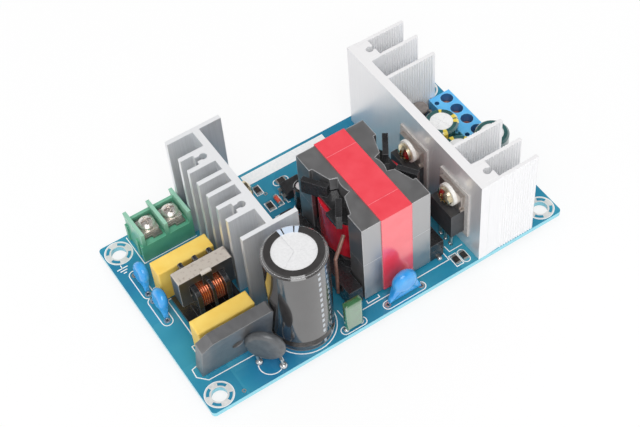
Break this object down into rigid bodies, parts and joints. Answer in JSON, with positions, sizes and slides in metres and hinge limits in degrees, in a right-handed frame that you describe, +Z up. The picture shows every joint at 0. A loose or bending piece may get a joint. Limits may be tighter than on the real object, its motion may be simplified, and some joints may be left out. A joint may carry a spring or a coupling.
{
  "type": "open-frame power supply module",
  "caption": "Open-frame mains to low-voltage power supply board with a filter, bridge, bulk capacitor, ferrite transformer, two extruded heatsinks and screw terminals.",
  "frame": {"origin": "centre of the four-hole mounting pattern, on the board's underside", "axes": "+X along the board's long side towards the low-voltage output end, +Y towards the long edge with the mains terminal, +Z up out of the component side"},
  "size_m": [0.118, 0.0666, 0.0384],
  "materials": {
    "board_laminate": "glossy blue-green solder mask over glass laminate",
    "solder": "bright tin solder fillets",
    "terminal_green": "satin moulded green plastic",
    "plated_contact": "nickel and tin plated metal",
    "blue_epoxy": "glossy dipped blue epoxy",
    "yellow_case": "satin moulded yellow plastic",
    "choke_ferrite": "sintered ferrite, matt warm grey",
    "black_moulding": "satin black moulding",
    "copper_wire": "enamelled copper wire",
    "bridge_moulding": "matt dark grey epoxy moulding",
    "dark_ceramic": "satin dark grey dipped disc",
    "extruded_aluminium": "bare extruded aluminium with fine draw lines",
    "tinned_tab": "tinned copper tab and leads",
    "can_aluminium": "bare drawn aluminium can",
    "black_sleeve": "glossy black shrink sleeve",
    "green_sleeve": "glossy dark green shrink sleeve with a gold polarity band",
    "green_dip": "glossy green dipped resin",
    "core_ferrite": "sintered ferrite, matt charcoal with ground faces",
    "red_tape": "glossy red polyester tape",
    "diode_glass": "clear coral glass",
    "grey_pad": "soft grey silicone pad",
    "white_bushing": "satin white plastic",
    "zinc_screw": "zinc plated steel",
    "terminal_blue": "satin moulded light blue plastic"
  },
  "bodies": {
    "root": {"circuit_board": "board_laminate", "solder_joints": "solder", "input_terminal_housing": "terminal_green", "input_terminal_contacts": "plated_contact", "input_terminal_clamps": "plated_contact", "input_terminal_screws": "plated_contact", "varistor": "blue_epoxy", "y_capacitor_line": "blue_epoxy", "y_capacitor_neutral": "blue_epoxy", "x_capacitor_input": "yellow_case", "x_capacitor_output": "yellow_case", "choke_core": "choke_ferrite", "choke_bobbin": "black_moulding", "choke_winding_line": "copper_wire", "choke_winding_neutral": "copper_wire", "bridge_rectifier": "bridge_moulding", "inrush_limiter": "dark_ceramic", "primary_heatsink": "extruded_aluminium", "switch_pad": "grey_pad", "switch_lead_frame": "tinned_tab", "switch_body": "black_moulding", "bulk_capacitor": "can_aluminium", "bulk_capacitor_sleeve": "black_sleeve", "film_capacitor": "green_dip", "barrier_capacitor": "blue_epoxy", "transformer_core_lower": "core_ferrite", "transformer_core_upper": "core_ferrite", "transformer_bobbin": "black_moulding", "transformer_pins": "plated_contact", "transformer_winding": "red_tape", "transformer_tape": "red_tape", "transformer_lead_wire": "copper_wire", "controller_chip": "black_moulding", "optocoupler": "black_moulding", "small_capacitor_primary": "can_aluminium", "small_capacitor_sleeve": "black_sleeve", "chip_bodies": "black_moulding", "chip_terminals": "plated_contact", "glass_diode": "diode_glass", "secondary_heatsink": "extruded_aluminium", "rectifier_pad_front": "grey_pad", "rectifier_pad_back": "grey_pad", "rectifier_frame_front": "tinned_tab", "rectifier_frame_back": "tinned_tab", "rectifier_body_front": "black_moulding", "rectifier_body_back": "black_moulding", "insulating_bushings": "white_bushing", "device_screws": "zinc_screw", "heatsink_screws": "zinc_screw", "output_capacitor_1": "can_aluminium", "output_capacitor_2": "can_aluminium", "output_capacitor_3": "can_aluminium", "output_capacitor_sleeves": "green_sleeve", "output_choke": "choke_ferrite", "output_choke_sleeve": "black_sleeve", "output_terminal_housing": "terminal_blue", "output_terminal_cages": "plated_contact", "output_terminal_screws": "plated_contact"}
  },
  "joints": []
}
